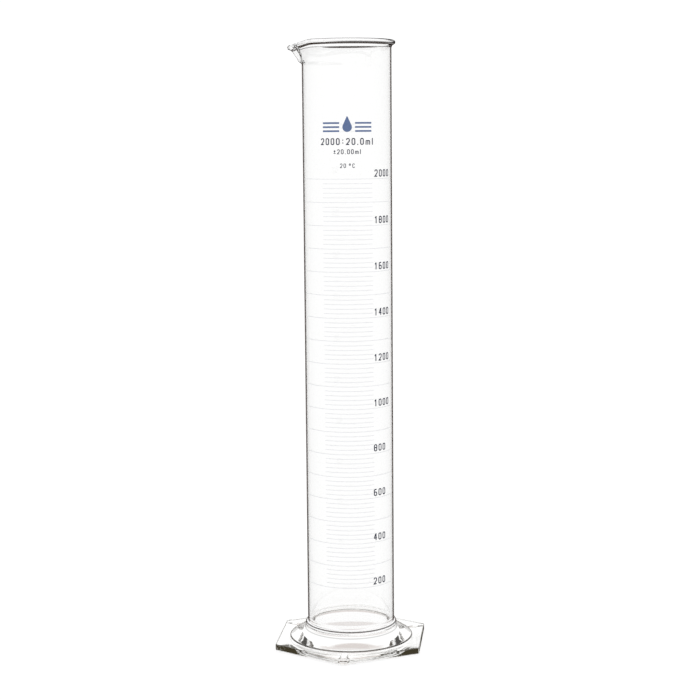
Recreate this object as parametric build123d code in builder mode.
"""Graduated cylinder, 2000 ml: a drawn glass tube with a beaded rim and a pouring spout, fused to a pressed
hexagonal glass foot, with its scale and inscription fired on in enamel.

Frame: millimetres, +Z up along the tube's axis, origin under the tube's centre, on the surface that the
three pads stand on. The scale faces -Y and the spout points along -X."""

import os
from math import cos, degrees, pi, radians, sin

from build123d import *

# --- Driving dimensions -----------------------------------------------------------------------------------
tube_inner_radius = 38.9
tube_wall = 2.2
tube_radius = tube_inner_radius + tube_wall
mm_per_ml = 1000 / (pi * tube_inner_radius**2)  # height that one millilitre fills

pad_height = 0.8  # three small pads under the foot
plate_thickness = 5.7
joint_height = 17.2  # where the tube's closed bottom is fused to the foot
tube_floor = 20.2  # inside bottom of the tube
overall_height = 566.5

# Foot
foot_across_flats = 135.5
foot_corner_radius = 4.0
foot_edge_radius = 0.9
foot_turn = -6.0  # degrees from the scale's middle line to the nearest corner
boss_radius = 57.7  # the round rise on the plate
boss_step = 0.9
boss_top_radius = 44.4
boss_top_height = 14.4
neck_radius = 42.4
neck_height = joint_height - 1.4
dish_rim_radius = 50.0  # shallow dished recess under the foot
dish_depth = 3.0
pad_radius = 3.2
pad_circle_radius = 68.0

# Closed bottom of the tube, with the bulge where it was pressed onto the foot
collar_radius = 43.4
collar_height = 4.4
floor_corner_radius = 6.0

# Rim
bead_radius = 2.0
flare_radius = 4.0  # outside of the wall's bend into the bead
flare_angle = 66.0
inner_flare_angle = 35.0

# Spout: a wedge-shaped channel that leans out of the wall
spout_mouth_angle = 38.0  # from the spout's middle line to where its mouth leaves the rim
spout_nose_radius = 7.2  # at the middle of the lip
spout_drop = 4.2  # how far the lip's nose hangs below the rim
spout_lean = 0.86  # outward run for each millimetre of rise
spout_depth = 18.0
spout_wall = 2.2
lip_radius = 1.7

# Enamel print
enamel = 0.1
line_height = 0.35
mark_step = 20
first_mark = 200
last_mark = 2000
marks_per_long_line = 5
long_line_half_angle = 67.0
short_line_half_angle = 33.0
numeral_step = 200
numeral_height = 6.7
numeral_start_angles = (30.2, 35.2)  # left edge of the lowest and the highest numeral, from the scale's middle line
numeral_lift = 1.7  # gap between a long line and the numeral on it
glyph_aspect = 0.56  # width of a glyph for its height
glyph_pitch = 0.8  # step from glyph to glyph for its height
stroke_share = 0.155  # stroke width for a glyph's height
corner_share = 0.17  # corner radius for a glyph's height
capacity_base = 471.8
tolerance_base = 463.6
temperature_base = 451.3
emblem_base = 483.4
drop_radius = 4.3
drop_height = 14.0
drop_tip_radius = 0.5
bar_start_angle = 10.0
bar_angle = 22.0
bar_height = 1.6
bar_pitch = 3.6
bar_count = 3


# --- Places and helpers -----------------------------------------------------------------------------------
plate_top = pad_height + plate_thickness
# The floor's rounded corner displaces a little liquid, which lifts every mark.
corner_loss = (1 - pi / 4) * floor_corner_radius**2 * 2 * pi * (tube_inner_radius - floor_corner_radius / 4)
zero_height = tube_floor + corner_loss / (pi * tube_inner_radius**2)


def mark_height(ml):
    """Height of the line that reads this many millilitres."""
    return zero_height + ml * mm_per_ml


def outward(angle):
    """Unit vector out of the axis, at this angle from -Y towards +X."""
    return (sin(radians(angle)), -cos(radians(angle)), 0)


def radial_plane(angle):
    """Half-plane through the axis: x runs outward at this angle, y runs up."""
    out = outward(angle)
    return Plane(origin=(0, 0, 0), x_dir=out, z_dir=(out[1], -out[0], 0))


def tangent_plane(angle, height):
    """Plane 1 mm inside the tube's surface, facing out at this angle."""
    out = outward(angle)
    depth = tube_radius - 1
    return Plane(origin=(out[0] * depth, out[1] * depth, height), x_dir=(-out[1], out[0], 0), z_dir=out)


def finish(builder, name):
    """Labels a finished piece and writes it."""
    builder.part.label = name
    export_step(builder.part, f"parts/{name}.step")


os.makedirs("parts", exist_ok=True)

# --- Hexagonal foot ---------------------------------------------------------------------------------------
with BuildPart() as hex_foot:
    with BuildSketch(Plane.XY.offset(pad_height)):
        RegularPolygon(radius=foot_across_flats / 2, side_count=6, major_radius=False, rotation=foot_turn - 30)
    extrude(amount=plate_thickness)
    fillet(hex_foot.edges().filter_by(Axis.Z), radius=foot_corner_radius)
    fillet(hex_foot.faces().sort_by(Axis.Z)[-1].edges(), radius=foot_edge_radius)
    fillet(hex_foot.faces().sort_by(Axis.Z)[0].edges(), radius=foot_edge_radius)
    with BuildSketch(Plane.XZ):
        with BuildLine():
            boss_foot = Line((boss_radius, plate_top - 1), (boss_radius, plate_top + boss_step))
            boss_side = Line(boss_foot @ 1, (boss_top_radius, boss_top_height))
            boss_neck = JernArc(boss_side @ 1, boss_side % 1, radius=neck_height - boss_top_height, arc_size=-50)
            Line(boss_neck @ 1, (neck_radius, joint_height))
            Line((neck_radius, joint_height), (0, joint_height))
            Line((0, joint_height), (0, plate_top - 1))
            Line((0, plate_top - 1), boss_foot @ 0)
        make_face()
    revolve(axis=Axis.Z)
    # The underside is dished, so that only the pads meet the surface the foot stands on.
    dish_radius = (dish_rim_radius**2 + dish_depth**2) / (2 * dish_depth)
    with Locations((0, 0, pad_height + dish_depth - dish_radius)):
        Sphere(radius=dish_radius, mode=Mode.SUBTRACT)
    with PolarLocations(pad_circle_radius, 3, start_angle=foot_turn - 90):
        Cylinder(radius=pad_radius, height=pad_height + 1, align=(Align.CENTER, Align.CENTER, Align.MIN))
finish(hex_foot, "hex_foot")

# --- Glass tube, with its rim and spout -------------------------------------------------------------------
# The rim's outline: the outer wall bends out by an arc, turns over the bead, and comes back by a wider arc.
bead_centre_radius = (
    tube_radius
    + flare_radius * (1 - cos(radians(flare_angle)))
    - bead_radius * cos(radians(flare_angle))
)
bead_centre_height = overall_height - bead_radius
flare_start = (
    bead_centre_height
    - bead_radius * sin(radians(flare_angle))
    - flare_radius * sin(radians(flare_angle))
)
bead_inner_edge = bead_centre_radius - bead_radius * cos(radians(inner_flare_angle))
inner_flare_radius = (bead_inner_edge - tube_inner_radius) / (1 - cos(radians(inner_flare_angle)))

# The lip lies in a plane that tips down from the mouth's edges. In it, two straight sides leave the bead as
# tangents and meet in a rounded nose.
mouth = radians(spout_mouth_angle)
mouth_x = bead_centre_radius * cos(mouth)
mouth_half_width = bead_centre_radius * sin(mouth)
corner_run = mouth_half_width * sin(mouth) / cos(mouth)
nose_run = corner_run - spout_nose_radius * (1 / cos(mouth) - 1)
drop_slope = spout_drop / nose_run
lip_plane = Plane(
    origin=(-mouth_x, 0, bead_centre_height),
    x_dir=(-1, 0, -drop_slope),
    z_dir=(-drop_slope, 0, 1),
)
spout_direction = (spout_lean, 0, -1)
spout_length = spout_depth * (1 + spout_lean**2) ** 0.5


def lip_path(offset, overrun=0.0):
    """Draws the lip's line, grown outward by offset, and run on behind the mouth by overrun."""
    corner = corner_run + offset / cos(mouth)
    spread = (corner + overrun) / sin(mouth) * cos(mouth)
    return FilletPolyline((-overrun, spread), (corner, 0), (-overrun, -spread), radius=spout_nose_radius + offset)


with BuildPart() as spout_shell:
    with BuildSketch(lip_plane):
        with BuildLine():
            side = lip_path(spout_wall / 2)
            Line(side @ 0, side @ 1)
        make_face()
    extrude(amount=spout_length, dir=spout_direction)
    with Locations((0, 0, bead_centre_height)):
        Cylinder(radius=tube_radius - 0.5, height=4 * spout_depth, mode=Mode.SUBTRACT)

with BuildPart() as glass_tube:
    with BuildSketch(Plane.XZ):
        with BuildLine():
            bottom = Line((0, joint_height), (neck_radius, joint_height))
            collar = ThreePointArc(
                bottom @ 1,
                (collar_radius, joint_height + collar_height * 0.42),
                (tube_radius, joint_height + collar_height),
            )
            wall = Line(collar @ 1, (tube_radius, flare_start))
            flare = JernArc(wall @ 1, (0, 1), radius=flare_radius, arc_size=-flare_angle)
            bead = JernArc(flare @ 1, flare % 1, radius=bead_radius, arc_size=180 + flare_angle - inner_flare_angle)
            throat = JernArc(bead @ 1, bead % 1, radius=inner_flare_radius, arc_size=inner_flare_angle)
            bore = Line(throat @ 1, (tube_inner_radius, tube_floor + floor_corner_radius))
            corner = JernArc(bore @ 1, (0, -1), radius=floor_corner_radius, arc_size=-90)
            floor = Line(corner @ 1, (0, tube_floor))
            Line(floor @ 1, bottom @ 0)
        make_face()
    revolve(axis=Axis.Z)
    add(spout_shell.part)
    with BuildSketch(lip_plane):
        with BuildLine():
            side = lip_path(-spout_wall / 2)
            Line(side @ 0, side @ 1)
        make_face()
    extrude(amount=spout_length, dir=spout_direction, mode=Mode.SUBTRACT)
    # Above the lip's plane the round bead gives way to the lip.
    with BuildSketch(lip_plane):
        Rectangle(2 * corner_run, 4 * mouth_half_width, align=(Align.MIN, Align.CENTER))
    extrude(amount=spout_depth, mode=Mode.SUBTRACT)
    with BuildLine(lip_plane) as lip_line:
        lip_path(0, overrun=1)
    with BuildSketch(Plane(origin=lip_line.line @ 0, z_dir=lip_line.line % 0)):
        Circle(lip_radius)
    sweep(path=lip_line.line)
finish(glass_tube, "glass_tube")

# --- Scale ------------------------------------------------------------------------------------------------
marks = range(first_mark, last_mark + 1, mark_step)
long_marks = [ml for ml in marks if ml % (mark_step * marks_per_long_line) == 0]
short_marks = [ml for ml in marks if ml not in long_marks]


def scale_lines(name, values, half_angle):
    """One group of lines, each a thin band of enamel on the tube's outer face."""
    with BuildPart() as lines:
        with BuildSketch(radial_plane(-half_angle)):
            with Locations([(tube_radius + enamel / 2, mark_height(ml)) for ml in values]):
                Rectangle(enamel, line_height)
        revolve(axis=Axis.Z, revolution_arc=2 * half_angle)
    finish(lines, name)


scale_lines("long_graduations", long_marks, long_line_half_angle)
scale_lines("short_graduations", short_marks, short_line_half_angle)

# --- Numerals and inscription -----------------------------------------------------------------------------
# Each glyph is a list of strokes: its points as shares of the glyph's width and height, the corners'
# rounding (1 is the usual radius), and whether the stroke closes on itself.
glyphs = {
    "0": [([(0, 0), (1, 0), (1, 1), (0, 1)], [1, 1, 1, 1], True)],
    "1": [
        ([(0.55, -0.07), (0.55, 1.07)], [], False),
        ([(0.1, 0.78), (0.55, 1)], [], False),
    ],
    "2": [([(0, 0.76), (0, 1), (1, 1), (1, 0.58), (0, 0), (1, 0)], [1, 1, 1, 0], False)],
    "4": [
        ([(0.75, -0.07), (0.75, 1.07)], [], False),
        ([(0.64, 1.05), (0.02, 0.3)], [], False),
        ([(-0.1, 0.3), (1.1, 0.3)], [], False),
    ],
    "6": [
        ([(0.9, 1), (0, 1), (0, 0), (0.5, 0)], [1, 1], False),
        ([(0.5, 0), (1, 0), (1, 0.56), (0, 0.56)], [1, 1], False),
    ],
    "8": [
        ([(0, 0), (1, 0), (1, 1), (0, 1)], [1, 1, 1, 1], True),
        ([(0, 0.53), (1, 0.53)], [], False),
    ],
    "m": [
        ([(-0.22, -0.07), (-0.22, 0.62), (1.22, 0.62), (1.22, -0.07)], [0.6, 0.6], False),
        ([(0.5, 0.62), (0.5, -0.07)], [], False),
    ],
    "l": [([(0.4, -0.07), (0.4, 1.07)], [], False)],
    "C": [([(1, 0.76), (1, 1), (0, 1), (0, 0), (1, 0), (1, 0.24)], [1, 1, 1, 1], False)],
    "±": [
        ([(0.5, 0.3), (0.5, 0.9)], [], False),
        ([(0, 0.6), (1, 0.6)], [], False),
        ([(0, 0.1), (1, 0.1)], [], False),
    ],
    "°": [([(0.05, 0.6), (0.75, 0.6), (0.75, 1), (0.05, 1)], [0.6, 0.6, 0.6, 0.6], True)],
    ".": [([(0.5, -0.09), (0.5, 0.09)], [], False)],
    ":": [
        ([(0.5, 0.16), (0.5, 0.34)], [], False),
        ([(0.5, 0.66), (0.5, 0.84)], [], False),
    ],
}
# Some glyphs take less or more room than the rest.
glyph_rooms = {".": 0.6, ":": 0.85, "l": 0.7, "m": 1.3, " ": 0.5}

with BuildPart() as enamel_skin:
    with BuildSketch(Plane.XY):
        Circle(tube_radius + enamel)
        Circle(tube_radius, mode=Mode.SUBTRACT)
    extrude(amount=overall_height)


def draw_glyph(letter, height):
    """Strokes of one glyph, centred across and standing on the sketch's origin."""
    stroke = stroke_share * height
    width = glyph_aspect * height - stroke
    rise = height - stroke
    for points, rounding, closed in glyphs[letter]:
        corners = [(width * (x - 0.5), stroke / 2 + rise * y) for x, y in points]
        with BuildLine() as pen:
            if rounding:
                FilletPolyline(corners, radius=[corner_share * height * share for share in rounding], close=closed)
            else:
                Line(corners)
        trace(pen.line, line_width=stroke)


def write_row(name, text, height, base, middle_angle):
    """A row of glyphs round the tube, each on the wall's own tangent, as one group of enamel."""
    step = degrees(glyph_pitch * height / tube_radius)
    shares = [glyph_rooms.get(letter, 1) for letter in text]
    with BuildPart() as row:
        for place, letter in enumerate(text):
            if letter != " ":
                angle = middle_angle + (sum(shares[:place]) + (shares[place] - sum(shares)) / 2) * step
                with BuildSketch(tangent_plane(angle, base)):
                    draw_glyph(letter, height)
                extrude(amount=2)
        add(enamel_skin.part, mode=Mode.INTERSECT)
    finish(row, name)


numeral_step_angle = degrees(glyph_pitch * numeral_height / tube_radius)
for ml in range(first_mark, last_mark + 1, numeral_step):
    lean = (ml - first_mark) / (last_mark - first_mark) * (numeral_start_angles[1] - numeral_start_angles[0])
    middle = numeral_start_angles[0] + lean + len(str(ml)) / 2 * numeral_step_angle
    write_row(f"numeral_{ml}", str(ml), numeral_height, mark_height(ml) + numeral_lift, middle)

write_row("capacity_marking", "2000:20.0ml", 6.2, capacity_base, 0)
write_row("tolerance_marking", "±20.00ml", 4.4, tolerance_base, 0)
write_row("temperature_marking", "20 °C", 4.0, temperature_base, 0)

# A plain drop between short level bars.
with BuildPart() as drop_emblem:
    with BuildSketch(tangent_plane(0, emblem_base)):
        with Locations((0, drop_radius)):
            Circle(drop_radius)
        with Locations((0, drop_height - drop_tip_radius)):
            Circle(drop_tip_radius)
        make_hull()
    extrude(amount=2)
    add(enamel_skin.part, mode=Mode.INTERSECT)
    for first_angle in (bar_start_angle, -bar_start_angle - bar_angle):
        with BuildSketch(radial_plane(first_angle)):
            for level in range(bar_count):
                with Locations((tube_radius + enamel / 2, emblem_base + bar_height / 2 + level * bar_pitch)):
                    Rectangle(enamel, bar_height)
        revolve(axis=Axis.Z, revolution_arc=bar_angle)
finish(drop_emblem, "drop_emblem")
